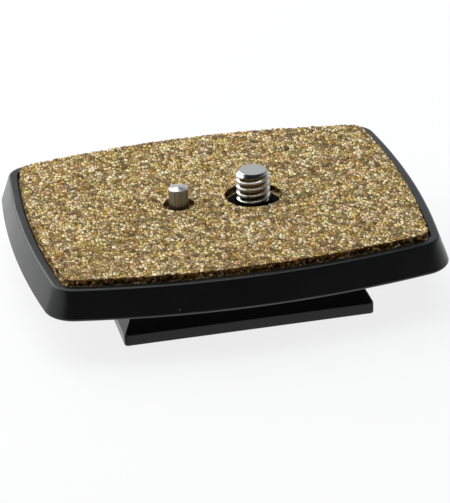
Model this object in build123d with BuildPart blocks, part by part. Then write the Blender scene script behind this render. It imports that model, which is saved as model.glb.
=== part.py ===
from build123d import *
import math
import os

# Tripod quick release plate, in millimetres. The origin is the centre of the foot's base,
# +Z is up, and +X runs along the longer side, from the locating pin towards the camera screw.

# Flange: the barrel-shaped upper plate, measured at its lower edge
flange_length = 77.4
flange_width = 65.4
side_radius = 148.0
end_radius = 191.0
flange_height = 5.4
flange_draft = 19.0
flange_top_fillet = 0.5
flange_bottom_chamfer = 0.4
flange_wall = 3.0
roof_thickness = 2.4

# Foot: the dovetail that the tripod head clamps, hollow from below
foot_length = 46.0
foot_width = 48.0
foot_height = 8.8
foot_corner_radius = 0.7
band_height = 2.1
dovetail_angle = 28.0
foot_wall = 3.0
cavity_corner_radius = 0.8
base_fillet = 0.3

# Ribs: stiffeners under the flange and along the foot's roof
rib_thickness = 1.6
spine_rib_height = 4.0

# Pad: cork and rubber sheet, glued into a shallow recess
rim_width = 1.55
pad_gap = 0.3
pad_corner_radius = 2.5
pad_thickness = 2.0
recess_depth = 0.85
pad_clip_gap = 0.5
pad_pin_gap = 0.6

# Camera screw: a quarter inch stud with a slotted head, held by a clip
screw_x = 6.5
thread_diameter = 6.35
thread_chamfer = 0.85
screw_reach = 5.0
shank_relief = 0.225
thread_clearance = 0.15
head_diameter = 14.0
head_height = 3.2
head_chamfer = 0.5
head_inset = 0.8
slot_width = 1.8
slot_depth = 1.4
screw_boss_wall = 3.4

# Washer between the screw's head and its boss
washer_thickness = 0.5
washer_inset = 0.5
face_clearance = 0.05

# Retaining clip in the screw's groove
groove_depth = 0.65
clip_thickness = 0.6
clip_overlap = 1.275
clip_band = 1.1
clip_mouth = 3.8
clip_lug_width = 1.6

# Folding ring: a square bar handle, its round ends sprung into the sides of the head
ring_bar = 1.8
ring_bend_radius = 1.2
ring_shoulder = 0.2
ring_head_gap = 0.2
ring_loop_gap = 0.8
ring_leg = 1.5
ring_grip = 2.5
pivot_diameter = 1.6
pivot_depth = 1.8
pivot_clearance = 0.05

# Locating pin: sprung, so that a camera without a pin hole pushes it flush
pin_spacing = 14.0
pin_diameter = 3.7
pin_reach = 3.2
pin_tip_height = 0.35
pin_guide_step = 0.25
pin_step_height = 0.5
pin_clearance = 0.05
pin_shoulder_wall = 1.05
collar_step = 0.7
collar_height = 0.9
collar_clearance = 0.2
tail_clearance = 0.25
tail_height = 2.0
pin_boss_wall = 1.2

# Spring under the pin's collar, and the plug that closes its bore
spring_wire = 0.45
spring_turns = 4.5
spring_gap = 0.02
solid_allowance = 0.25
plug_thickness = 1.0
plug_flange = 0.4
plug_clearance = 0.02
plug_chamfer = 0.25

# Heights that follow from the sizes above
flange_z = foot_height
rim_z = flange_z + flange_height
recess_z = rim_z - recess_depth
pad_top_z = recess_z + pad_thickness
roof_z = recess_z - roof_thickness

# The flange's arcs, as distances of their centres from its middle, and how far its outline is
# drawn in from the lower edge at the rim, at the recess and at the pad
side_centre = side_radius - flange_width / 2
end_centre = end_radius - flange_length / 2
rim_inset = flange_height * math.tan(math.radians(flange_draft))
recess_inset = rim_inset + rim_width
pad_inset = recess_inset + pad_gap

# Plan sizes of the foot's neck and of the mouth of its cavity, whose walls lean in as far as
# the neck does
neck_inset = (foot_height - band_height) * math.tan(math.radians(dovetail_angle))
neck_length = foot_length - 2 * neck_inset
neck_width = foot_width - 2 * neck_inset
mouth_length = foot_length - 2 * foot_wall
mouth_width = foot_width - 2 * foot_wall
cavity_draft = math.degrees(math.atan2(neck_inset, foot_height))

# Screw stack, from the head upwards
head_top_z = head_inset + head_height
washer_z = head_top_z + face_clearance
screw_boss_z = washer_z + washer_thickness + face_clearance
screw_bore = thread_diameter + 2 * thread_clearance
screw_boss_diameter = screw_bore + 2 * screw_boss_wall
shank_diameter = thread_diameter - 2 * shank_relief
groove_diameter = shank_diameter - 2 * groove_depth
clip_diameter = screw_bore + 2 * clip_overlap
pad_screw_hole = clip_diameter + 2 * pad_clip_gap
clip_z = recess_z + face_clearance
groove_top_z = clip_z + clip_thickness + face_clearance
screw_tip_z = pad_top_z + screw_reach

# Pin stack, from the plug upwards
pin_x = screw_x - pin_spacing
pin_travel = pin_reach + pin_tip_height
shoulder_z = recess_z - pin_shoulder_wall
collar_top_z = shoulder_z - face_clearance
collar_z = collar_top_z - collar_height
spring_height = pin_travel + (spring_turns + 1) * spring_wire + solid_allowance
plug_top_z = collar_z - spring_height
plug_z = plug_top_z - plug_thickness
pin_guide_diameter = pin_diameter + 2 * pin_guide_step
pad_pin_hole = pin_guide_diameter + 2 * pad_pin_gap
collar_diameter = pin_guide_diameter + 2 * collar_step
tail_diameter = collar_diameter - 2 * spring_wire - 2 * tail_clearance
pin_bore = collar_diameter + 2 * collar_clearance
plug_seat = pin_bore + 2 * plug_flange
pin_boss_diameter = plug_seat + 2 * pin_boss_wall
pin_rim_z = pad_top_z + pin_reach
pin_step_z = recess_z + pin_step_height

# Ring: its pivot line crosses the screw's axis at the middle of the head, its loop passes just
# clear of the head, and its far corners are as round as its legs and grip allow
pivot_z = head_inset + head_height / 2
pivot_length = ring_head_gap + pivot_depth - pivot_clearance
ring_start = head_diameter / 2 + ring_head_gap
ring_half_width = ring_start + ring_shoulder + ring_bend_radius
ring_reach = head_diameter / 2 + ring_loop_gap + ring_bar / 2
ring_corner_radius = min(ring_reach - ring_bend_radius - ring_leg, ring_half_width - ring_grip / 2)


def flange_outline(inset, height):
    """The flange's barrel outline at a height, drawn in by an inset from its lower edge."""
    with BuildSketch(Plane.XY.offset(height)) as outline:
        with PolarLocations(end_centre, 1, start_angle=0):
            Circle(end_radius - inset)
        with PolarLocations(end_centre, 1, start_angle=180):
            Circle(end_radius - inset, mode=Mode.INTERSECT)
        with PolarLocations(side_centre, 1, start_angle=90):
            Circle(side_radius - inset, mode=Mode.INTERSECT)
        with PolarLocations(side_centre, 1, start_angle=270):
            Circle(side_radius - inset, mode=Mode.INTERSECT)
        fillet(outline.vertices(), radius=pad_corner_radius + pad_inset - inset)
    return outline.sketch


# Sections of the flange, its pockets, its recess and the pad
flange_low = flange_outline(0, flange_z)
pocket_outline = flange_outline(flange_wall, flange_z)
recess_outline = flange_outline(recess_inset, recess_z)
pad_outline = flange_outline(pad_inset, recess_z)

# Shallow pockets under the flange, parted by ribs in line with the foot's walls and its middle
with BuildSketch(Plane.XY.offset(flange_z)) as flange_pockets:
    add(pocket_outline.moved(Location((0, 0, -flange_z))))
    Rectangle(neck_length, neck_width, mode=Mode.SUBTRACT)
    with GridLocations((neck_length - rib_thickness) / 2, 0, 3, 1):
        Rectangle(rib_thickness, flange_width, mode=Mode.SUBTRACT)
    with GridLocations(0, (neck_width - rib_thickness) / 2, 1, 3):
        Rectangle(flange_length, rib_thickness, mode=Mode.SUBTRACT)

# Foot: a straight band with a dovetail above it, and the band's corners rounded
with BuildPart() as dovetail_foot:
    with BuildSketch() as foot_plan:
        Rectangle(foot_length, foot_width)
    extrude(amount=band_height)
    band_top = dovetail_foot.faces().sort_by(Axis.Z)[-1]
    extrude(band_top, amount=foot_height - band_height, taper=dovetail_angle)
    with BuildSketch() as band_plan:
        RectangleRounded(foot_length, foot_width, foot_corner_radius)
    extrude(amount=foot_height, mode=Mode.INTERSECT)
    fillet(dovetail_foot.faces().sort_by(Axis.Z)[0].edges(), radius=base_fillet)

# Cavity: the hollow of the foot, up to the plate's roof
with BuildPart() as foot_cavity:
    with BuildSketch() as cavity_mouth:
        Rectangle(mouth_length, mouth_width)
    extrude(amount=roof_z, taper=cavity_draft)
    fillet(foot_cavity.edges().group_by(Axis.Z)[1], radius=cavity_corner_radius)

# Plate body: flange and foot, moulded as one piece
with BuildPart() as plate_body:
    extrude(flange_low, amount=flange_height, taper=flange_draft)
    fillet(plate_body.faces().sort_by(Axis.Z)[-1].edges(), radius=flange_top_fillet)
    chamfer(plate_body.faces().sort_by(Axis.Z)[0].edges(), length=flange_bottom_chamfer)
    extrude(flange_pockets.sketch, amount=roof_z - flange_z, mode=Mode.SUBTRACT)
    add(dovetail_foot.part)
    add(foot_cavity.part, mode=Mode.SUBTRACT)
    with BuildSketch(Plane.XY.offset(roof_z)) as spine_rib:
        Rectangle(neck_length - foot_wall, rib_thickness)
    extrude(amount=-spine_rib_height)
    with BuildSketch(Plane.XY.offset(screw_boss_z)) as screw_boss:
        with Locations((screw_x, 0)):
            Circle(screw_boss_diameter / 2)
    extrude(amount=roof_z - screw_boss_z)
    with BuildSketch(Plane.XY.offset(plug_z)) as pin_boss:
        with Locations((pin_x, 0)):
            Circle(pin_boss_diameter / 2)
    extrude(amount=roof_z - plug_z)
    extrude(recess_outline, amount=recess_depth, mode=Mode.SUBTRACT)
    with Locations((screw_x, 0, recess_z)):
        Hole(screw_bore / 2)
    with Locations((pin_x, 0, recess_z)):
        Hole(pin_guide_diameter / 2 + pin_clearance)
    with BuildSketch(Plane.XY.offset(plug_z)) as spring_bore:
        with Locations((pin_x, 0)):
            Circle(pin_bore / 2)
    extrude(amount=shoulder_z - plug_z, mode=Mode.SUBTRACT)
    with BuildSketch(Plane.XY.offset(plug_z)) as plug_recess:
        with Locations((pin_x, 0)):
            Circle(plug_seat / 2)
    extrude(amount=plug_thickness, mode=Mode.SUBTRACT)

# Cork pad: one flat sheet with a hole for the screw and one for the pin
with BuildPart() as cork_pad:
    extrude(pad_outline, amount=pad_thickness)
    with Locations((screw_x, 0, pad_top_z)):
        Hole(pad_screw_hole / 2)
    with Locations((pin_x, 0, pad_top_z)):
        Hole(pad_pin_hole / 2)

# Camera screw: head, plain shank, clip groove and stud, turned as one piece
with BuildPart() as camera_screw:
    with BuildSketch(Plane.XZ.shift_origin((screw_x, 0, 0))) as screw_profile:
        with BuildLine():
            Polyline(
                (0, head_inset),
                (head_diameter / 2 - head_chamfer, head_inset),
                (head_diameter / 2, head_inset + head_chamfer),
                (head_diameter / 2, head_top_z - head_chamfer),
                (head_diameter / 2 - head_chamfer, head_top_z),
                (shank_diameter / 2, head_top_z),
                (shank_diameter / 2, recess_z),
                (groove_diameter / 2, recess_z),
                (groove_diameter / 2, groove_top_z),
                (thread_diameter / 2, groove_top_z),
                (thread_diameter / 2, screw_tip_z - thread_chamfer),
                (thread_diameter / 2 - thread_chamfer, screw_tip_z),
                (0, screw_tip_z),
                close=True,
            )
        make_face()
    revolve(axis=Axis((screw_x, 0, 0), (0, 0, 1)))
    with BuildSketch(Plane.XY.offset(head_inset)) as coin_slot:
        with Locations((screw_x, 0)):
            Rectangle(head_diameter, slot_width)
    extrude(amount=slot_depth, mode=Mode.SUBTRACT)
    for side in (1, -1):
        seat_plane = Plane((screw_x, side * head_diameter / 2, pivot_z), z_dir=(0, -side, 0))
        with BuildSketch(seat_plane) as pivot_seat:
            Circle(pivot_diameter / 2 + pivot_clearance)
        extrude(amount=pivot_depth, mode=Mode.SUBTRACT)

# Thrust washer: thin ring between the head and its boss
with BuildPart() as thrust_washer:
    with BuildSketch(Plane.XY.offset(washer_z)) as washer_ring:
        with Locations((screw_x, 0)):
            Circle(screw_boss_diameter / 2 - washer_inset)
            Circle(screw_bore / 2, mode=Mode.SUBTRACT)
    extrude(amount=washer_thickness)

# Retaining clip: an open ring whose three lugs sit in the screw's groove
with BuildPart() as retaining_clip:
    with BuildSketch(Plane((screw_x, 0, clip_z))) as clip_shape:
        Circle(clip_diameter / 2)
        Circle(clip_diameter / 2 - clip_band, mode=Mode.SUBTRACT)
        lug_length = clip_diameter / 2 - clip_band / 2
        with PolarLocations(lug_length / 2, 3, start_angle=0, angular_range=270):
            Rectangle(lug_length, clip_lug_width)
        Circle(groove_diameter / 2 + face_clearance, mode=Mode.SUBTRACT)
        with Locations((0, -clip_diameter / 2)):
            Rectangle(clip_mouth, clip_diameter, mode=Mode.SUBTRACT)
    extrude(amount=clip_thickness)

# Folding ring: a bent bar, with a round pivot turned on each end
with BuildPart() as folding_ring:
    with BuildLine(Plane((screw_x, 0, pivot_z))) as ring_path:
        FilletPolyline(
            (0, ring_start),
            (0, ring_half_width),
            (ring_reach, ring_half_width),
            (ring_reach, -ring_half_width),
            (0, -ring_half_width),
            (0, -ring_start),
            radius=[ring_bend_radius, ring_corner_radius, ring_corner_radius, ring_bend_radius],
        )
    bar_plane = Plane(ring_path.line @ 0, x_dir=(0, 0, 1), z_dir=ring_path.line % 0)
    with BuildSketch(bar_plane) as ring_section:
        Rectangle(ring_bar, ring_bar)
    sweep()
    for side in (1, -1):
        end_plane = Plane((screw_x, side * ring_start, pivot_z), z_dir=(0, -side, 0))
        with BuildSketch(end_plane) as pivot_end:
            Circle(pivot_diameter / 2)
        extrude(amount=pivot_length)

# Locating pin: blunt conical tip, guide, stop collar and a tail inside the spring
with BuildPart() as locating_pin:
    with BuildSketch(Plane.XZ.shift_origin((pin_x, 0, 0))) as pin_profile:
        with BuildLine():
            Polyline(
                (0, collar_z - tail_height),
                (tail_diameter / 2, collar_z - tail_height),
                (tail_diameter / 2, collar_z),
                (collar_diameter / 2, collar_z),
                (collar_diameter / 2, collar_top_z),
                (pin_guide_diameter / 2, collar_top_z),
                (pin_guide_diameter / 2, pin_step_z),
                (pin_diameter / 2, pin_step_z),
                (pin_diameter / 2, pin_rim_z),
                (0, pin_rim_z + pin_tip_height),
                close=True,
            )
        make_face()
    revolve(axis=Axis((pin_x, 0, 0), (0, 0, 1)))

# Pin spring: a square wire helix between the plug and the collar
with BuildPart() as pin_spring:
    coil_radius = (collar_diameter - spring_wire) / 2
    coil_height = spring_height - spring_wire - 2 * spring_gap
    coil_start = (pin_x, 0, plug_top_z + spring_wire / 2 + spring_gap)
    with BuildLine() as coil_path:
        Helix(coil_height / spring_turns, coil_height, coil_radius, center=coil_start)
    with BuildSketch(Plane(coil_path.line @ 0, z_dir=coil_path.line % 0)) as coil_section:
        Rectangle(spring_wire, spring_wire)
    sweep(is_frenet=True)

# Spring plug: a disc pressed into the foot of the pin's boss
with BuildPart() as spring_plug:
    with BuildSketch(Plane.XY.offset(plug_z)) as plug_disc:
        with Locations((pin_x, 0)):
            Circle(plug_seat / 2 - plug_clearance)
    extrude(amount=plug_thickness)
    chamfer(spring_plug.edges().group_by(Axis.Z)[0], length=plug_chamfer)

os.makedirs("parts", exist_ok=True)
pieces = {
    "plate_body": plate_body,
    "cork_pad": cork_pad,
    "camera_screw": camera_screw,
    "thrust_washer": thrust_washer,
    "retaining_clip": retaining_clip,
    "folding_ring": folding_ring,
    "locating_pin": locating_pin,
    "pin_spring": pin_spring,
    "spring_plug": spring_plug,
}
for name, piece in pieces.items():
    piece.part.label = name
    export_step(piece.part, f"parts/{name}.step")
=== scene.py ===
# %% [markdown]
# # A tripod quick release plate
# The real plate stays on a camera and snaps into a tripod head. A black moulded flange stands on
# a dovetail foot, a sheet of granulated cork keeps the camera from turning, and a quarter inch
# screw and a sprung locating pin stand through the cork. Below, the foot is hollow and holds the
# screw's head, its folding ring and the pin's spring.
# The solids come from CAD as a fixed frame in metres. This lesson gives each of them the detail
# that CAD leaves out: granules, a thread, eased edges and finishes. Every piece stays where its
# solid is, so nothing has to be fitted by eye.

# %% Load the frame
import math

import bmesh
import bpy
from mathutils import Matrix, Vector


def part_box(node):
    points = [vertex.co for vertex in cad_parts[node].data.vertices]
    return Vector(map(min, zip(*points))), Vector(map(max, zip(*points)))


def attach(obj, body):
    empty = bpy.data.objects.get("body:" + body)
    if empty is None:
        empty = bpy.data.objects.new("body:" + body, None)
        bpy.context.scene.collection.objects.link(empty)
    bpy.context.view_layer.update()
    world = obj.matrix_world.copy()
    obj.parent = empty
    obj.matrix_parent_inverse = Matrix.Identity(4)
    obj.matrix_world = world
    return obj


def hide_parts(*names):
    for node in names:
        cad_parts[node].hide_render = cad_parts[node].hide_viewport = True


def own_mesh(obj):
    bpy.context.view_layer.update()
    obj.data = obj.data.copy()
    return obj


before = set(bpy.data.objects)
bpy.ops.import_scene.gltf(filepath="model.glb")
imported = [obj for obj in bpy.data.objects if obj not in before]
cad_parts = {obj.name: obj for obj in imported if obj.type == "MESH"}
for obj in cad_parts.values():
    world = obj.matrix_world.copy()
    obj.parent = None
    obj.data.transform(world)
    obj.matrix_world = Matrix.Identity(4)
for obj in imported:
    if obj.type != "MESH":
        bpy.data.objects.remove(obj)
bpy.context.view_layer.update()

MM = 0.001
print("CAD nodes:", sorted(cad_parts))

# %% [markdown]
# ## Tools used all through the lesson
# An operator acts on whatever is selected, and the loader leaves every CAD node selected, so each
# step starts from a clear selection. A CAD node itself is never edited. A step that needs its
# shape works on a copy, and the copy's loose triangles are merged first, because bevels and smooth
# shading only work across shared edges. Booleans and bevels can leave points that almost touch, so
# one tool merges those and drops the faces that collapse. Most lengths are named in millimetres
# and turned into Blender's metres where they are used.

# %% Selecting and editing
def clear_selection():
    """Leaves edit mode and selects nothing."""
    if bpy.context.mode != "OBJECT":
        bpy.ops.object.mode_set(mode="OBJECT")
    bpy.ops.object.select_all(action="DESELECT")


def select_only(piece):
    """Selects this object alone and makes it active."""
    clear_selection()
    piece.select_set(True)
    bpy.context.view_layer.objects.active = piece


def name_new(name):
    """Names the object that an operator has just made, and its mesh."""
    piece = bpy.context.active_object
    piece.name = piece.data.name = name
    return piece


def edit_faces(piece, wanted=lambda face: True):
    """Opens a piece in edit mode with those faces selected that pass the test, or else all."""
    select_only(piece)
    bpy.ops.object.mode_set(mode="EDIT")
    bpy.ops.mesh.select_mode(type="FACE")
    bpy.ops.mesh.select_all(action="DESELECT")
    mesh = bmesh.from_edit_mesh(piece.data)
    for face in mesh.faces:
        face.select_set(wanted(face))
    bmesh.update_edit_mesh(piece.data)


# %% Applying and copying
WELD_GAP = 0.001


def apply_modifier(piece, kind, **settings):
    """Adds one modifier, sets it up and applies it to the mesh."""
    modifier = piece.modifiers.new(kind.title(), kind)
    for key, value in settings.items():
        setattr(modifier, key, value)
    select_only(piece)
    bpy.ops.object.modifier_apply(modifier=modifier.name)


def apply_place(piece):
    """Moves a piece's place, turn and scale into its mesh."""
    select_only(piece)
    bpy.ops.object.transform_apply(location=True, rotation=True, scale=True)


def copy_of(node, name):
    """A copy of a CAD node as a piece of its own, with its triangles merged."""
    select_only(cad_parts[node])
    bpy.ops.object.duplicate()
    piece = name_new(name)
    piece.parent = None
    for key in list(piece.keys()):
        del piece[key]
    piece.data.materials.clear()
    bpy.ops.mesh.customdata_custom_splitnormals_clear()
    edit_faces(piece)
    bpy.ops.mesh.remove_doubles(threshold=WELD_GAP * MM)
    bpy.ops.object.mode_set(mode="OBJECT")
    return piece


# %% Closing and cleaning
def close_holes(piece):
    """Selects the open edges of a piece, fills them and turns all faces out."""
    select_only(piece)
    bpy.ops.object.mode_set(mode="EDIT")
    bpy.ops.mesh.select_mode(type="EDGE")
    bpy.ops.mesh.select_all(action="DESELECT")
    bpy.ops.mesh.select_non_manifold(extend=False)
    bpy.ops.mesh.fill()
    bpy.ops.mesh.select_all(action="SELECT")
    bpy.ops.mesh.normals_make_consistent(inside=False)
    bpy.ops.object.mode_set(mode="OBJECT")


def drop_slivers(piece, gap):
    """Merges points closer than this gap in mm, and drops the faces that collapse."""
    edit_faces(piece)
    bpy.ops.mesh.remove_doubles(threshold=gap * MM)
    bpy.ops.mesh.dissolve_degenerate(threshold=gap * MM)
    bpy.ops.object.mode_set(mode="OBJECT")


# %% Shading and seating
def finish_shading(piece, degrees):
    """Smooth shading, with edges sharper than this angle left crisp."""
    select_only(piece)
    bpy.ops.object.shade_smooth_by_angle(angle=math.radians(degrees))


def seat(piece, body, node, material):
    """Gives a finished piece its material, its body and the solid it stands for."""
    piece.data.materials.clear()
    piece.data.materials.append(material)
    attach(piece, body)
    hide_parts(node)
    triangles = sum(len(face.vertices) - 2 for face in piece.data.polygons)
    print(f"{piece.name}: {triangles} triangles, rides on {body}, stands for {node}")


# %% [markdown]
# ## Wiring nodes
# Every finish here is procedural. One small helper adds a node with its menus set and its inputs
# either filled with a value or linked to another node's output, which keeps each material short
# enough to read as a recipe. Sums, soft ranges, tints and bumps are wanted so often that each of
# them gets a helper too.

# %% Nodes and sums
def add_node(tree, kind, inputs=None, **menus):
    """One node. Each input is a plain value, or an output socket to link from."""
    made = tree.nodes.new(kind)
    for key, value in menus.items():
        setattr(made, key, value)
    for key, value in (inputs or {}).items():
        if isinstance(value, bpy.types.NodeSocket):
            tree.links.new(value, made.inputs[key])
        else:
            made.inputs[key].default_value = value
    return made


def calc(tree, operation, first, second=0.0, third=0.0):
    """A Math node's result."""
    made = add_node(tree, "ShaderNodeMath", {0: first, 1: second, 2: third}, operation=operation)
    return made.outputs[0]


def calc_vector(tree, operation, *values):
    """A Vector Math node's result, for an operation that gives a vector."""
    made = add_node(tree, "ShaderNodeVectorMath", dict(enumerate(values)), operation=operation)
    return made.outputs[0]


def upright_part(tree, vector):
    """The Z part of a vector."""
    return add_node(tree, "ShaderNodeSeparateXYZ", {0: vector}).outputs["Z"]


# %% Soft ranges and tints
def ease(tree, value, low, high, start=0.0, end=1.0):
    """A value between low and high, moved smoothly into the range from start to end."""
    made = add_node(
        tree,
        "ShaderNodeMapRange",
        {"Value": value, "From Min": low, "From Max": high, "To Min": start, "To Max": end},
        interpolation_type="SMOOTHSTEP",
    )
    return made.outputs["Result"]


def tinted(tree, base, share, colour, blend="MIX"):
    """A colour moved towards another one, or multiplied by it, by a share between 0 and 1."""
    made = add_node(
        tree,
        "ShaderNodeMix",
        {0: share, 6: base, 7: (*colour, 1)},
        data_type="RGBA",
        blend_type=blend,
    )
    return made.outputs[2]


# %% Groups and materials
FLOAT, VECTOR = "NodeSocketFloat", "NodeSocketVector"


def new_group(name, inputs, outputs):
    """An empty shader group with named sockets, and its two ends."""
    group = bpy.data.node_groups.new(name, "ShaderNodeTree")
    for socket, kind in inputs:
        group.interface.new_socket(socket, in_out="INPUT", socket_type=kind)
    for socket, kind in outputs:
        group.interface.new_socket(socket, in_out="OUTPUT", socket_type=kind)
    start = group.nodes.new("NodeGroupInput")
    end = group.nodes.new("NodeGroupOutput")
    return group, start.outputs, end.inputs


def use_group(tree, group, inputs):
    """Places a shared group in a material, with that material's own values."""
    return add_node(tree, "ShaderNodeGroup", inputs, node_tree=group).outputs


def new_material(name):
    """A material with its Principled shader and the object coordinates that its patterns use."""
    material = bpy.data.materials.new(name)
    material.use_nodes = True
    tree = material.node_tree
    place = add_node(tree, "ShaderNodeTexCoord").outputs["Object"]
    return material, tree, tree.nodes["Principled BSDF"], place


def add_bump(tree, shader, height, strength, depth):
    """Gives a shader a bump of this depth in mm."""
    bump = add_node(
        tree, "ShaderNodeBump", {"Height": height, "Strength": strength, "Distance": depth * MM}
    )
    tree.links.new(bump.outputs["Normal"], shader.inputs["Normal"])


# %% [markdown]
# ## Shared effects
# Some effects belong to more than one finish, so each is a node group. Fine grain is the spark
# texture of a mould or the bite of a plating bath. Settled dust is a scatter of pale specks that
# gathers on faces that look up. Turning marks are the rings that a lathe tool leaves, which depend
# on the distance from the turning axis and on the height, and on nothing else. That group also puts
# out the distance and the height, so that a material can tell a thread's root from its crest. Drawn
# lines are the long upright lines of a bar that was pulled through a die, a noise stretched fifty
# times along Z.

# %% Fine grain
fine_grain, start, end = new_group(
    "fine_grain",
    [("Vector", VECTOR), ("Scale", FLOAT), ("Patch Scale", FLOAT)],
    [("Height", FLOAT), ("Tone", FLOAT)],
)
grain = add_node(
    fine_grain,
    "ShaderNodeTexNoise",
    {"Vector": start["Vector"], "Scale": start["Scale"], "Detail": 3.0, "Roughness": 0.65},
)
patches = add_node(
    fine_grain,
    "ShaderNodeTexNoise",
    {"Vector": start["Vector"], "Scale": start["Patch Scale"], "Detail": 2.0},
)
fine_grain.links.new(grain.outputs[0], end["Height"])
fine_grain.links.new(ease(fine_grain, patches.outputs[0], 0.35, 0.65), end["Tone"])
print("group", fine_grain.name, "with", len(fine_grain.nodes), "nodes")

# %% Settled dust
settled_dust, start, end = new_group(
    "settled_dust",
    [("Vector", VECTOR), ("Specks", FLOAT), ("Share", FLOAT)],
    [("Mask", FLOAT)],
)
specks = add_node(
    settled_dust,
    "ShaderNodeTexVoronoi",
    {"Vector": start["Vector"], "Scale": start["Specks"]},
)
spot = ease(settled_dust, specks.outputs["Distance"], 0.03, 0.09, 1.0, 0.0)
lot = add_node(settled_dust, "ShaderNodeSeparateColor", {0: specks.outputs["Color"]}).outputs[0]
kept = calc(settled_dust, "LESS_THAN", lot, start["Share"])
normal = add_node(settled_dust, "ShaderNodeNewGeometry").outputs["Normal"]
upward = ease(settled_dust, upright_part(settled_dust, normal), -0.2, 0.8, 0.25, 1.0)
settled_dust.links.new(
    calc(settled_dust, "MULTIPLY", calc(settled_dust, "MULTIPLY", spot, kept), upward),
    end["Mask"],
)
print("group", settled_dust.name, "with", len(settled_dust.nodes), "nodes")

# %% Turning marks
turning_marks, start, end = new_group(
    "turning_marks",
    [("Vector", VECTOR), ("Axis", VECTOR), ("Lines", FLOAT)],
    [("Height", FLOAT), ("Radius", FLOAT), ("Level", FLOAT)],
)
offset = calc_vector(turning_marks, "SUBTRACT", start["Vector"], start["Axis"])
flat = calc_vector(turning_marks, "MULTIPLY", offset, (1, 1, 0))
radius = add_node(turning_marks, "ShaderNodeVectorMath", {0: flat}, operation="LENGTH").outputs["Value"]
height = upright_part(turning_marks, offset)
section = add_node(turning_marks, "ShaderNodeCombineXYZ", {0: radius, 1: height}).outputs[0]
rings = add_node(
    turning_marks,
    "ShaderNodeTexNoise",
    {"Vector": section, "Scale": start["Lines"], "Detail": 2.0, "Roughness": 0.7},
)
turning_marks.links.new(rings.outputs[0], end["Height"])
turning_marks.links.new(radius, end["Radius"])
turning_marks.links.new(height, end["Level"])
print("group", turning_marks.name, "with", len(turning_marks.nodes), "nodes")

# %% Drawn lines
LINE_STRETCH = 50

drawn_lines, start, end = new_group(
    "drawn_lines",
    [("Vector", VECTOR), ("Scale", FLOAT)],
    [("Height", FLOAT), ("Tone", FLOAT)],
)
along = calc_vector(drawn_lines, "MULTIPLY", start["Vector"], (1, 1, 1 / LINE_STRETCH))
streaks = add_node(drawn_lines, "ShaderNodeTexNoise", {"Vector": along, "Scale": start["Scale"]})
drawn_lines.links.new(streaks.outputs[0], end["Height"])
drawn_lines.links.new(ease(drawn_lines, streaks.outputs[0], 0.35, 0.65), end["Tone"])
print("group", drawn_lines.name, "with", len(drawn_lines.nodes), "nodes")

# %% [markdown]
# ## Satin black plastic
# The plate is moulded in black plastic with a fine satin texture. On the photograph it is almost
# pure black where it reflects the dark room and pale grey where it mirrors the bright table at a
# low angle, so the colour is very dark and the gloss does the rest. A very low bump breaks up the
# reflection, patches of handling change the roughness a little, and a few dust specks lie on the
# faces that look up.

# %% Body plastic
PLASTIC_BLACK = (0.0072, 0.0072, 0.0070)
DUST_GREY = (0.18, 0.17, 0.16)

body_plastic, tree, shader, place = new_material("satin_black_plastic")
grain = use_group(tree, fine_grain, {"Vector": place, "Scale": 7000.0, "Patch Scale": 160.0})
dust = use_group(tree, settled_dust, {"Vector": place, "Specks": 420.0, "Share": 0.14})
colour = tinted(tree, (*PLASTIC_BLACK, 1), dust["Mask"], DUST_GREY)
tree.links.new(colour, shader.inputs["Base Color"])
tree.links.new(ease(tree, grain["Tone"], 0.0, 1.0, 0.20, 0.24), shader.inputs["Roughness"])
shader.inputs["Specular IOR Level"].default_value = 0.33
add_bump(tree, shader, grain["Height"], strength=0.35, depth=0.02)
print("material", body_plastic.name)

# %% [markdown]
# ## Steel, spring steel and nylon
# The screw and the pin are turned and plated bright, so they are almost mirrors with faint rings
# from the tool. Down in the thread's roots and on the neck under the thread the colour is painted
# dark as shade, and the pin's side keeps the long lines of the drawn bar that it was cut from. A
# mask of radius or height finds those places, darkens the colour there and swaps the rings for
# lines. The ring is bent from bar and plated satin. The clip and the spring are black oxide, a thin
# dark skin over metal, and the washer and the plug are plain black nylon.

# %% Recipe for bright steel
BRIGHT_STEEL = (0.60, 0.59, 0.57)
LINE_DIRT = (0.10, 0.09, 0.08)


def plated_steel(name, dull_and_shade_colour, dull_and_shade, axis_x, smooth, rough):
    """Bright steel turned about an upright axis at this x, darker where the mask says so: a drawn finish
    on the pin, painted shade in the screw's thread roots.
    """
    material, tree, shader, place = new_material(name)
    marks = use_group(tree, turning_marks, {"Vector": place, "Axis": (axis_x, 0, 0), "Lines": 9000.0})
    mask = dull_and_shade(tree, marks["Radius"], marks["Level"])
    drawn = use_group(tree, drawn_lines, {"Vector": place, "Scale": 4200.0})
    streak = calc(tree, "MULTIPLY", mask, calc(tree, "MULTIPLY", drawn["Tone"], 0.55))
    dulled_and_shaded = tinted(tree, (*BRIGHT_STEEL, 1), mask, dull_and_shade_colour)
    tree.links.new(tinted(tree, dulled_and_shaded, streak, LINE_DIRT), shader.inputs["Base Color"])
    shader.inputs["Metallic"].default_value = 1.0
    lines = add_node(tree, "ShaderNodeMix", {0: mask, 2: marks["Height"], 3: drawn["Height"]}).outputs[0]
    sheen = ease(tree, lines, 0.3, 0.7, smooth, rough)
    tree.links.new(calc(tree, "MULTIPLY_ADD", mask, 0.1, sheen), shader.inputs["Roughness"])
    add_bump(tree, shader, lines, strength=0.2, depth=0.004)
    return material


# %% Screw steel and pin steel
ROOT_SHADE_COLOUR = (0.15, 0.145, 0.13)
DRAWN_STEEL = (0.34, 0.33, 0.31)

screw_axis = 6.5 * MM
pin_axis = -7.5 * MM


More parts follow.
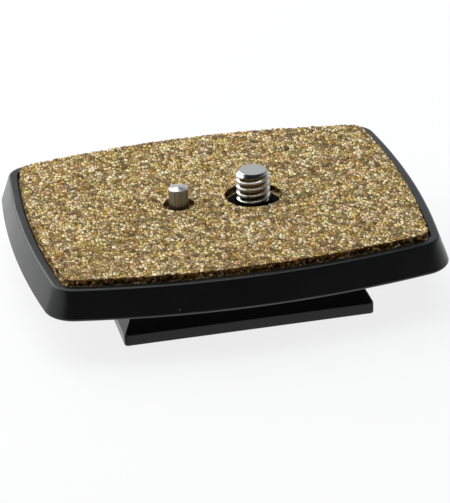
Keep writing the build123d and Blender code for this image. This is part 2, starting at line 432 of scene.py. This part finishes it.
def thread_root_shade(tree, radius, level):
    """The bottom of the thread and the neck under it, painted dark as shade."""
    # Painted shade: the thread's roots and the neck below the thread get a dark colour.
    deep = ease(tree, radius, 2.54 * MM, 2.82 * MM, 1.0, 0.0)
    neck = ease(tree, level, 14.1 * MM, 14.3 * MM, 1.0, 0.0)
    threaded = ease(tree, level, 13.0 * MM, 13.4 * MM)
    under_tip = ease(tree, level, 20.15 * MM, 20.30 * MM, 1.0, 0.0)
    dark = calc(tree, "MAXIMUM", deep, neck)
    return calc(tree, "MULTIPLY", dark, calc(tree, "MULTIPLY", threaded, under_tip))


def pin_side(tree, radius, level):
    """The side of the pin, which no camera polishes. It needs no radius."""
    return ease(tree, level, 18.35 * MM, 18.50 * MM, 1.0, 0.0)


screw_steel = plated_steel(
    "bright_screw_steel", ROOT_SHADE_COLOUR, thread_root_shade, screw_axis, smooth=0.08, rough=0.16
)
pin_steel = plated_steel(
    "bright_pin_steel", DRAWN_STEEL, pin_side, pin_axis, smooth=0.20, rough=0.30
)
print("bright steel:", [m.name for m in (screw_steel, pin_steel)])

# %% Satin steel, black oxide and nylon
def grained(name, colour, metallic, smooth, rough, scale, depth):
    """A plain part with a fine grain: satin plating, black oxide or nylon."""
    material, tree, shader, place = new_material(name)
    grain = use_group(tree, fine_grain, {"Vector": place, "Scale": scale, "Patch Scale": 300.0})
    shader.inputs["Base Color"].default_value = (*colour, 1)
    shader.inputs["Metallic"].default_value = metallic
    tree.links.new(ease(tree, grain["Tone"], 0.0, 1.0, smooth, rough), shader.inputs["Roughness"])
    add_bump(tree, shader, grain["Height"], strength=0.3, depth=depth)
    return material


ring_steel = grained(
    "satin_ring_steel", (0.56, 0.56, 0.57), metallic=1.0, smooth=0.28, rough=0.42, scale=5000.0, depth=0.01
)
dark_steel = grained(
    "black_oxide_steel",
    (0.012, 0.012, 0.013),
    metallic=1.0,
    smooth=0.55,
    rough=0.70,
    scale=6000.0,
    depth=0.01,
)
oxide_shader = dark_steel.node_tree.nodes["Principled BSDF"]
oxide_shader.inputs["Specular Tint"].default_value = (0.3, 0.3, 0.32, 1)
black_nylon = grained(
    "black_nylon", (0.02, 0.02, 0.021), metallic=0.0, smooth=0.42, rough=0.55, scale=4000.0, depth=0.02
)
print("satin steel, oxide and nylon:", [m.name for m in (ring_steel, dark_steel, black_nylon)])

# %% [markdown]
# ## Granulated cork
# The pad is cork crumbs of half a millimetre and more, bonded under pressure with a little
# rubber. Each crumb has its own tone between dark brown and cream, thin dark seams part the crumbs,
# and some larger and many finer crumbs are mixed in. The hue changes over larger lumps, because
# neighbours often come from one piece of bark, and the strength of the colour drifts a little. A
# few crumbs are rusty or mossy bark, and a few are rubber. A Voronoi pattern gives exactly that: one
# random colour a cell and the distance to the cell's edge. The coordinates are squeezed first,
# because rolling draws the crumbs out one way, and then stirred by noise, so that crumbs have torn
# edges. Faces that turn sideways, the cut walls of the sheet and of its holes, get painted shade:
# their colour is multiplied darker and redder. The same cells later press the relief into the mesh,
# so they come from one function that works in a shader tree and in a geometry tree alike.

# %% Cork crumbs
LARGE_CRUMBS = 690.0
CRUMBS = 1010.0
FINE_CRUMBS = 3700.0
CRUMB_SHAPE = (1.6, 1.0, 1.6)
STIR = 1900.0
TEAR = 0.45


def lay_crumbs(tree, place):
    """A random colour for each large, common and fine crumb, and the seam between common ones."""
    squeezed = calc_vector(tree, "MULTIPLY", place, CRUMB_SHAPE)
    stir = add_node(tree, "ShaderNodeTexNoise", {"Vector": squeezed, "Scale": STIR, "Detail": 2.0})
    centred = calc_vector(tree, "SUBTRACT", stir.outputs["Color"], (0.5, 0.5, 0.5))
    torn = calc_vector(tree, "MULTIPLY_ADD", centred, (TEAR * MM, TEAR * MM, TEAR * MM), squeezed)
    crumbs = [
        add_node(tree, "ShaderNodeTexVoronoi", {"Vector": torn, "Scale": scale}).outputs["Color"]
        for scale in (LARGE_CRUMBS, CRUMBS, FINE_CRUMBS)
    ]
    seam = add_node(
        tree, "ShaderNodeTexVoronoi", {"Vector": torn, "Scale": CRUMBS}, feature="DISTANCE_TO_EDGE"
    )
    return crumbs, seam.outputs["Distance"]


# %% Cork tones
DARKEST_TONE = (0.10, (0.098, 0.068, 0.031))
PALEST_TONE = (0.86, (1.00, 0.90, 0.60))
MIDDLE_TONES = [
    (0.26, (0.195, 0.142, 0.069)),
    (0.42, (0.40, 0.292, 0.130)),
    (0.58, (0.69, 0.512, 0.222)),
    (0.74, (0.95, 0.765, 0.410)),
]

cork, tree, shader, place = new_material("granulated_cork")
crumbs, seam = lay_crumbs(tree, place)
large_lot, coarse_lot, fine_lot = (add_node(tree, "ShaderNodeSeparateColor", {0: c}) for c in crumbs)
drift = add_node(tree, "ShaderNodeTexNoise", {"Vector": place, "Scale": 170.0, "Detail": 2.0})
coarse_tone = calc(tree, "MULTIPLY_ADD", coarse_lot.outputs[0], 0.60, 0.11)
tone = calc(tree, "MULTIPLY_ADD", fine_lot.outputs[0], 0.34, coarse_tone)
whole = ease(tree, large_lot.outputs[1], 0.80, 0.82, 0.0, 0.65)
tone = add_node(tree, "ShaderNodeMix", {0: whole, 2: tone, 3: large_lot.outputs[0]}).outputs[0]
tone = calc(tree, "MULTIPLY_ADD", calc(tree, "SUBTRACT", drift.outputs[0], 0.5), 0.15, tone)
crumb_colour = add_node(tree, "ShaderNodeValToRGB", {"Fac": tone})
stops = crumb_colour.color_ramp.elements
for stop, (position, colour) in zip(stops, (DARKEST_TONE, PALEST_TONE)):
    stop.position, stop.color = position, (*colour, 1)
for position, colour in MIDDLE_TONES:
    stops.new(position).color = (*colour, 1)
print("cork ramp stops:", len(stops))

# %% Cork colour, seams and bump
RUSTY_BARK = (0.46, 0.22, 0.075)
MOSSY_BARK = (0.17, 0.16, 0.070)
RUBBER = (0.110, 0.082, 0.056)
SEAM_SHADE = (0.096, 0.064, 0.030)
WALL_SHADE_TINT = (0.76, 0.48, 0.30)

rusty = ease(tree, coarse_lot.outputs[1], 0.92, 0.95, 0.0, 0.40)
mossy = ease(tree, coarse_lot.outputs[1], 0.08, 0.11, 0.30, 0.0)
rubber = ease(tree, coarse_lot.outputs[2], 0.06, 0.08, 0.70, 0.0)
batch = add_node(tree, "ShaderNodeTexNoise", {"Vector": place, "Scale": 480.0, "Detail": 2.0})
own_hue = add_node(
    tree,
    "ShaderNodeHueSaturation",
    {
        "Hue": ease(tree, large_lot.outputs[2], 0.0, 1.0, 0.509, 0.477),
        "Saturation": ease(tree, batch.outputs[0], 0.3, 0.7, 0.98, 1.28),
        "Color": crumb_colour.outputs["Color"],
    },
)
colour = tinted(tree, own_hue.outputs["Color"], rusty, RUSTY_BARK)
colour = tinted(tree, colour, mossy, MOSSY_BARK)
colour = tinted(tree, colour, rubber, RUBBER)
colour = tinted(tree, colour, ease(tree, seam, 0.02, 0.16, 0.95, 0.0), SEAM_SHADE)
normal = add_node(tree, "ShaderNodeNewGeometry").outputs["Normal"]
# Painted shade: faces that turn sideways, the cut walls and the hole walls, are multiplied darker and
# redder.
wall_shade = ease(tree, upright_part(tree, normal), 0.2, 0.7, 1.0, 0.0)
colour = tinted(tree, colour, wall_shade, WALL_SHADE_TINT, "MULTIPLY")
tree.links.new(colour, shader.inputs["Base Color"])
shader.inputs["Roughness"].default_value = 0.85
shader.inputs["Specular IOR Level"].default_value = 0.12
crumb_height = calc(tree, "ADD", ease(tree, seam, 0.0, 0.3), calc(tree, "MULTIPLY", tone, 0.5))
add_bump(tree, shader, crumb_height, strength=0.6, depth=0.10)
print("material", cork.name, "with", len(tree.nodes), "nodes")

# %% [markdown]
# ## The cork pad
# The solid is a flat sheet with two holes and knife-sharp edges. Real granulated cork has a pitted
# top and crumbly edges. The copy is remeshed into small voxels, so that there is something to
# push, and its hidden underside is cut out and filled again with a few large faces. A geometry
# node tree then sinks the seams and single crumbs, most of all at the edges, and never lifts
# anything out of the solid's box. The lowest part of the edge is held still, where the sheet sits
# in its recess.

# %% Pad mesh
VOXEL = 0.215

pad = copy_of("cork_pad", "cork_sheet")
pad_low, pad_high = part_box("cork_pad")
apply_modifier(pad, "REMESH", mode="VOXEL", voxel_size=VOXEL * MM)
edit_faces(pad, lambda face: face.normal.z < -0.9)
bpy.ops.mesh.delete(type="FACE")
close_holes(pad)
print("pad faces after the remesh:", len(pad.data.polygons))

# %% Crumb relief
PIT, GROOVE = 0.20, 0.14
EDGE_PIT, EDGE_GROOVE = 1.0, 0.12
GROOVE_SHARE = 0.14
HELD_BELOW, FREE_ABOVE = 0.2, 0.5

relief = bpy.data.node_groups.new("crumb_relief", "GeometryNodeTree")
relief.interface.new_socket("Geometry", in_out="INPUT", socket_type="NodeSocketGeometry")
relief.interface.new_socket("Geometry", in_out="OUTPUT", socket_type="NodeSocketGeometry")
position = add_node(relief, "GeometryNodeInputPosition").outputs[0]
normal = add_node(relief, "GeometryNodeInputNormal").outputs[0]
(_, common, _), seam = lay_crumbs(relief, position)
lots = add_node(relief, "ShaderNodeSeparateXYZ", {0: common}).outputs
sunk = calc(relief, "POWER", lots[2], 3.0)
groove = ease(relief, seam, 0.0, GROOVE_SHARE, 1.0, 0.0)
upright = calc(relief, "ABSOLUTE", upright_part(relief, normal))
side = ease(relief, upright, 0.60, 0.985, 1.0, 0.0)
top_depth = calc(relief, "MULTIPLY_ADD", sunk, PIT, calc(relief, "MULTIPLY", groove, GROOVE))
side_depth = calc(relief, "MULTIPLY_ADD", lots[1], EDGE_PIT, calc(relief, "MULTIPLY", groove, EDGE_GROOVE))
depth = calc(relief, "MULTIPLY_ADD", side_depth, side, top_depth)
above = upright_part(relief, position)
free = ease(relief, above, pad_low.z + HELD_BELOW * MM, pad_low.z + FREE_ABOVE * MM)
push = calc(relief, "MULTIPLY", calc(relief, "MULTIPLY", depth, free), -MM)
offset = add_node(relief, "ShaderNodeVectorMath", {0: normal, "Scale": push}, operation="SCALE").outputs[0]
group_in = add_node(relief, "NodeGroupInput").outputs[0]
moved = add_node(relief, "GeometryNodeSetPosition", {"Geometry": group_in, "Offset": offset})
add_node(relief, "NodeGroupOutput", {0: moved.outputs[0]})
apply_modifier(pad, "NODES", node_group=relief)
finish_shading(pad, degrees=60)
seat(pad, "plate", "cork_pad", cork)
pad_top = max(vertex.co.z for vertex in pad.data.vertices)
print("pad top, mm:", round(pad_top / MM, 3), "of", round(pad_high.z / MM, 3))

# %% [markdown]
# ## Turning a round piece
# A lathe makes a round piece as a row of steps. The same can be done in edit mode: a filled circle
# is extruded upwards by each step's height and resized to its radius. That keeps clean rings of
# quads, which bevels and booleans like, and closes both ends.

# %% A lathe in edit mode
def turn(name, axis_x, profile, segments=96):
    """A turned piece about an upright axis. The profile is a list of radius and height in mm."""
    first_radius, first_height = profile[0]
    clear_selection()
    bpy.ops.mesh.primitive_circle_add(
        vertices=segments,
        radius=first_radius * MM,
        fill_type="NGON",
        location=(axis_x, 0, first_height * MM),
    )
    piece = name_new(name)
    bpy.ops.object.mode_set(mode="EDIT")
    bpy.ops.mesh.select_all(action="SELECT")
    for (old_radius, old_height), (radius, height) in zip(profile, profile[1:]):
        rise = (height - old_height) * MM
        bpy.ops.mesh.extrude_region_move(TRANSFORM_OT_translate={"value": (0, 0, rise)})
        share = radius / old_radius
        bpy.ops.transform.resize(value=(share, share, 1))
    bpy.ops.mesh.select_all(action="SELECT")
    bpy.ops.mesh.normals_make_consistent(inside=False)
    bpy.ops.object.mode_set(mode="OBJECT")
    apply_place(piece)
    return piece


# %% [markdown]
# ## The locating pin
# A plain steel pin with a guide, a collar and a blunt cone on top. It is turned with the same
# steps as the solid, and the rim between its side and its cone gets a small round, because a
# plated edge is never knife-sharp and that round catches the light.

# %% Pin
TAIL = [(2.10, 9.35), (2.10, 11.35)]
COLLAR = [(2.72, 11.35), (2.80, 11.43), (2.80, 12.17), (2.72, 12.25)]
GUIDE = [(2.10, 12.25), (2.10, 13.75), (2.00, 13.85)]
SIDE = [(1.85, 13.85), (1.85, 18.38)]
RIM = [(1.83, 18.47), (1.77, 18.545), (1.68, 18.58)]
CONE = [(0.20, 18.86), (0.05, 18.885)]

pin = turn("locating_pin_turned", pin_axis, TAIL + COLLAR + GUIDE + SIDE + RIM + CONE)
finish_shading(pin, degrees=28)
seat(pin, "pin", "locating_pin", pin_steel)

# %% [markdown]
# ## The camera screw
# The stud has a quarter inch thread with a pitch of 1.27 mm, which the solid leaves out. The
# thread is one tooth, drawn as a small outline with a rounded crest, as a rolled thread has, and
# wound up the axis by a Screw modifier. The rounded crest matters, because it draws a thin bright
# line along each turn. Two booleans then do what the lathe does: the tooth is welded to the core,
# and a blank with a chamfered nose trims it, so that the thread runs out on the nose as a real one
# does. Head, shank and groove come from the solid itself, cut off just under the thread. A short
# peg bridges the cut, and the slivers that the booleans leave are merged away.

# %% Winding an outline
def wind(piece, angle, rise, rounds, steps):
    """Winds an outline up the Z axis, by an angle and a rise in mm a round, and closes its ends."""
    apply_modifier(
        piece,
        "SCREW",
        axis="Z",
        angle=angle,
        screw_offset=rise * MM,
        iterations=rounds,
        steps=steps,
        render_steps=steps,
        use_merge_vertices=False,
    )
    close_holes(piece)


# %% Thread tooth
PITCH = 1.27
CREST_RADIUS = 3.175
CORE_RADIUS = 2.52
NECK_FOOT = 14.05
THREAD_FOOT = 14.12
SCREW_TIP = 20.35
TURNS = 8

FLANK = [(2.46, 0.52), (3.02, 0.24), (3.08, 0.205), (3.125, 0.165), (3.155, 0.11), (3.165, 0.05)]
outline = FLANK + [(radius, -height) for radius, height in reversed(FLANK)]

clear_selection()
bpy.ops.mesh.primitive_circle_add(vertices=len(outline), fill_type="NOTHING", location=(0, 0, 0))
tooth = name_new("thread_tooth")
for vertex, (radius, height) in zip(tooth.data.vertices, outline):
    vertex.co = (radius * MM, 0, height * MM)
wind(tooth, math.tau, PITCH, TURNS, steps=64)
tooth.location = (screw_axis, 0, (NECK_FOOT - PITCH) * MM)
apply_place(tooth)
print("tooth faces:", len(tooth.data.polygons))

# %% Core, blank and booleans
NOSE = 0.72
NOSE_HEIGHT = 0.85
OVERRUN = 3.0
CORE_MARGIN = 0.05
RUN_OUT = 0.45


def combine(piece, tool, operation):
    """Joins, cuts or trims a piece with a tool, and throws the tool away."""
    apply_modifier(piece, "BOOLEAN", operation=operation, object=tool, solver="EXACT")
    bpy.data.objects.remove(tool)


core = turn(
    "thread_core",
    screw_axis,
    [(CORE_RADIUS, NECK_FOOT - OVERRUN), (CORE_RADIUS, SCREW_TIP + OVERRUN)],
    segments=90,
)
blank = turn(
    "thread_blank",
    screw_axis,
    [
        (CORE_RADIUS + CORE_MARGIN, NECK_FOOT),
        (CORE_RADIUS + CORE_MARGIN, THREAD_FOOT),
        (CREST_RADIUS, THREAD_FOOT + RUN_OUT),
        (CREST_RADIUS, SCREW_TIP - NOSE_HEIGHT),
        (CREST_RADIUS - NOSE, SCREW_TIP),
    ],
    segments=128,
)
combine(core, tooth, "UNION")
combine(core, blank, "INTERSECT")
print("thread faces:", len(core.data.polygons))

# %% Head, shank and thread in one
CUT_GAP = 0.03
CUT_ACCURACY = 0.0001
PEG_RADIUS = 2.2
PEG_REACH = 0.3
BOOLEAN_SLIVER = 0.001

screw = copy_of("camera_screw", "camera_screw_threaded")
edit_faces(screw)
bpy.ops.mesh.bisect(
    plane_co=(0, 0, (NECK_FOOT - CUT_GAP) * MM),
    plane_no=(0, 0, 1),
    clear_outer=True,
    use_fill=True,
    threshold=CUT_ACCURACY * MM,
)
bpy.ops.object.mode_set(mode="OBJECT")
neck = turn(
    "thread_neck",
    screw_axis,
    [(PEG_RADIUS, NECK_FOOT - PEG_REACH), (PEG_RADIUS, NECK_FOOT + PEG_REACH)],
    segments=64,
)
combine(screw, neck, "UNION")
combine(screw, core, "UNION")
drop_slivers(screw, BOOLEAN_SLIVER)
finish_shading(screw, degrees=24)
seat(screw, "screw", "camera_screw", screw_steel)

# %% [markdown]
# ## Easing the edges of plain pieces
# The washer, clip, plug, ring and plate keep their solids' shapes, but no made edge is perfectly
# sharp. A copy of the solid is merged, its flat triangles are dissolved into whole faces, and a
# Bevel modifier rounds the edges that turn by more than a set angle. The copy is shaded before the
# bevel, and the bevel hardens its normals, so flat faces stay flat and only the new strip curves.
# The modifier's overlap clamp is off, because with it the shortest edge of the whole piece would
# set the width of every bevel. Slivers where bevels meet are merged away at the end.

# %% Eased copies
FLAT_DEGREES = 0.5
BEVEL_SLIVER = 0.0002


def eased(node, name, width, degrees=25, segments=2):
    """A copy of a solid with its sharp edges rounded by a width in mm."""
    piece = copy_of(node, name)
    edit_faces(piece)
    bpy.ops.mesh.dissolve_limited(angle_limit=math.radians(FLAT_DEGREES))
    bpy.ops.object.mode_set(mode="OBJECT")
    finish_shading(piece, degrees)
    apply_modifier(
        piece,
        "BEVEL",
        width=width * MM,
        segments=segments,
        limit_method="ANGLE",
        angle_limit=math.radians(degrees),
        use_clamp_overlap=False,
        harden_normals=True,
    )
    drop_slivers(piece, BEVEL_SLIVER)
    return piece


ring = eased("folding_ring", "folding_ring_bar", width=0.18)
seat(ring, "ring", "folding_ring", ring_steel)
clip = eased("retaining_clip", "retaining_clip_sprung", width=0.06)
seat(clip, "screw", "retaining_clip", dark_steel)
washer = eased("thrust_washer", "thrust_washer_disc", width=0.06)
seat(washer, "screw", "thrust_washer", black_nylon)
plug = eased("spring_plug", "spring_plug_disc", width=0.06)
seat(plug, "plate", "spring_plug", black_nylon)
plate = eased("plate_body", "plate_moulding", width=0.18, segments=3)
seat(plate, "plate", "plate_body", body_plastic)

# %% [markdown]
# ## The pin's spring
# The spring is round wire wound in four and a half turns. A small circle is wound up by the Screw
# modifier, half a turn at a time.

# %% Spring
SPRING_FOOT = 5.075
SPRING_TOP = 11.35
SPRING_WIRE = 0.45
SPRING_RADIUS = 2.575
SPRING_GAP = 0.02
HALF_TURNS = 9

clear_selection()
bpy.ops.mesh.primitive_circle_add(
    vertices=12,
    radius=SPRING_WIRE / 2 * MM,
    rotation=(math.pi / 2, 0, 0),
    location=(SPRING_RADIUS * MM, 0, 0),
)
spring = name_new("pin_spring_coil")
apply_place(spring)
coil_rise = SPRING_TOP - SPRING_FOOT - SPRING_WIRE - 2 * SPRING_GAP
wind(spring, math.pi, coil_rise / HALF_TURNS, HALF_TURNS, steps=24)
spring.location = (pin_axis, 0, (SPRING_FOOT + SPRING_WIRE / 2 + SPRING_GAP) * MM)
apply_place(spring)
finish_shading(spring, degrees=50)
seat(spring, "plate", "pin_spring", dark_steel)
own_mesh(spring)

# %% [markdown]
# ## Floor, light and camera
# The photograph shows the plate on white, lit by one large soft light from above, behind and to
# the left. The front of the room is dark, which is why the front of the plate is almost black.
# The floor is plain and pale, one softbox gives the main light, and the world is a smooth
# gradient, bright behind the plate and dim in front of it. A bright patch straight above draws thin
# lights along rounded edges, and a pale card at the left lets the grey of the left side run out
# softly round the front corner. The floor is clear for a view from below, and a small
# softbox under it lights the hollow foot. The camera stands where the photograph was taken: its
# place was found by fitting the plate's edges.

# %% Floor
FLOOR_SIZE = 6
FLOOR_DROP = 0.02
FLOOR_GLOW = 0.82

clear_selection()
bpy.ops.mesh.primitive_plane_add(size=FLOOR_SIZE, location=(0, 0, -FLOOR_DROP * MM))
floor = name_new("floor")
floor_paint, tree, shader, _ = new_material("floor_paint")
shader.inputs["Base Color"].default_value = (0.93, 0.93, 0.93, 1)
shader.inputs["Roughness"].default_value = 0.9
shader.inputs["Specular IOR Level"].default_value = 0.0
glow = add_node(tree, "ShaderNodeEmission", {"Color": (1, 1, 1, 1), "Strength": 1.0})
ray = add_node(tree, "ShaderNodeLightPath").outputs
seen = calc(tree, "MAXIMUM", ray["Is Camera Ray"], ray["Is Glossy Ray"])
seen = calc(tree, "MAXIMUM", seen, ray["Is Transmission Ray"])
lifted = add_node(
    tree,
    "ShaderNodeMixShader",
    {0: calc(tree, "MULTIPLY", seen, FLOOR_GLOW), 1: shader.outputs[0], 2: glow.outputs[0]},
)
below = add_node(tree, "ShaderNodeNewGeometry").outputs["Backfacing"]
clear = calc(tree, "MAXIMUM", below, ray["Is Shadow Ray"])
window = add_node(
    tree,
    "ShaderNodeMixShader",
    {0: clear, 1: lifted.outputs[0], 2: add_node(tree, "ShaderNodeBsdfTransparent").outputs[0]},
)
tree.links.new(window.outputs[0], tree.nodes["Material Output"].inputs["Surface"])
floor.data.materials.append(floor_paint)
print("floor,", FLOOR_SIZE, "m wide, painted with", floor_paint.name)

# %% World
world = bpy.data.worlds.new("studio")
bpy.context.scene.world = world
world.use_nodes = True
tree = world.node_tree
toward = add_node(
    tree, "ShaderNodeSeparateXYZ", {0: add_node(tree, "ShaderNodeTexCoord").outputs["Generated"]}
).outputs
back_light = ease(tree, toward["Y"], -0.45, 0.75, 0.03, 0.70)
ceiling = ease(tree, toward["Z"], 0.50, 0.70, 1.0, 0.30)
right_light = ease(tree, toward["X"], 0.15, 0.85, 0.0, 0.10)
left_card = ease(tree, toward["X"], -0.98, -0.70, 1.0, 0.0)
overhead = ease(tree, toward["Z"], 0.88, 0.96, 0.0, 2.4)
sky = calc(tree, "MULTIPLY_ADD", back_light, ceiling, overhead)
sky = calc(tree, "ADD", sky, calc(tree, "ADD", left_card, right_light))
tree.nodes["Background"].inputs["Color"].default_value = (0.94, 0.97, 1.0, 1)
tree.links.new(sky, tree.nodes["Background"].inputs["Strength"])
print("world", world.name, "with", len(tree.nodes), "nodes")

# %% Lamps
def softbox(name, direction, distance, size, watts):
    """A square soft light that looks at the plate from a direction. Lengths are in metres."""
    lamp = bpy.data.lights.new(name, "AREA")
    lamp.shape = "SQUARE"
    lamp.size = size
    lamp.energy = watts
    stand = bpy.data.objects.new(name, lamp)
    bpy.context.scene.collection.objects.link(stand)
    aim = Vector(direction).normalized()
    stand.location = aim * distance
    stand.rotation_euler = aim.to_track_quat("Z", "Y").to_euler()


softbox("softbox_key", (-0.5, 0.55, 0.60), distance=0.45, size=0.54, watts=2.0)
softbox("softbox_below", (0.2, -0.3, -0.93), distance=0.6, size=0.5, watts=2.4)

# %% Camera
AZIMUTH, ELEVATION, ROLL = (math.radians(a) for a in (-11.466, 26.077, -2.347))
TARGET = Vector((0.861, 0.482, 4.117)) * MM
DISTANCE = 636.182 * MM
FOCAL_PIXELS, LONG_SIDE, SENSOR = 3426.494, 503, 36.0

back = Vector((
    math.sin(AZIMUTH) * math.cos(ELEVATION),
    -math.cos(AZIMUTH) * math.cos(ELEVATION),
    math.sin(ELEVATION),
))
level_right = Vector((math.cos(AZIMUTH), math.sin(AZIMUTH), 0))
level_up = back.cross(level_right)
right = math.cos(ROLL) * level_right + math.sin(ROLL) * level_up
up = math.cos(ROLL) * level_up - math.sin(ROLL) * level_right
lens = bpy.data.cameras.new("photo_camera")
lens.sensor_width = SENSOR
lens.lens = FOCAL_PIXELS * SENSOR / LONG_SIDE
lens.clip_start, lens.clip_end = 0.01, 20
camera = bpy.data.objects.new("photo_camera", lens)
bpy.context.scene.collection.objects.link(camera)
turned = Matrix((right, up, back)).transposed().to_4x4()
camera.matrix_world = Matrix.Translation(TARGET + back * DISTANCE) @ turned
bpy.context.scene.camera = camera
bpy.context.scene.view_settings.view_transform = "Standard"
print("camera at, mm:", [round(v / MM, 1) for v in camera.location], "lens", round(lens.lens, 2))
